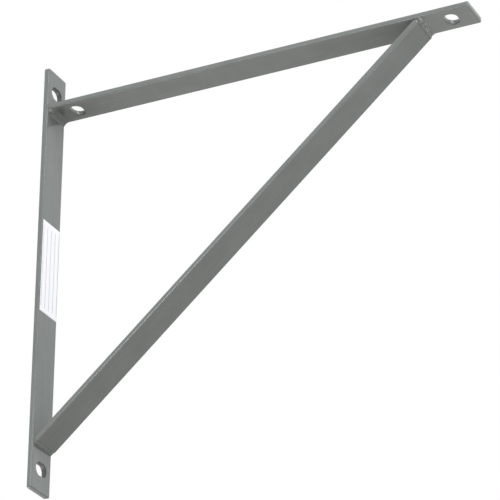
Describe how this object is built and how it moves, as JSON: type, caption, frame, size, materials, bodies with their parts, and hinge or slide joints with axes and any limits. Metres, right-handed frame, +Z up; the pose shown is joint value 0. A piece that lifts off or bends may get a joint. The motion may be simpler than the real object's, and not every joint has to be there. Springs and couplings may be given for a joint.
{
  "type": "shelf bracket",
  "caption": "Welded flat-bar shelf bracket: upright bar for the wall, level arm for the shelf, diagonal brace, slotted bolt holes near the bar ends, glossy grey paint and a blank paper label.",
  "frame": {"origin": "middle of the upright bar's back face, which lies on the wall, halfway between its two slots", "axes": "+X out of the wall along the arm, +Y along the wall and across the bars, +Z up"},
  "size_m": [0.405, 0.03, 0.4],
  "materials": {
    "grey_paint": "gloss",
    "label_paper": "matte"
  },
  "bodies": {
    "root": {"wall_leg": "grey_paint", "shelf_arm": "grey_paint", "diagonal_brace": "grey_paint", "corner_weld": "grey_paint", "foot_weld": "grey_paint", "tip_weld": "grey_paint", "label": "label_paper"}
  },
  "joints": []
}
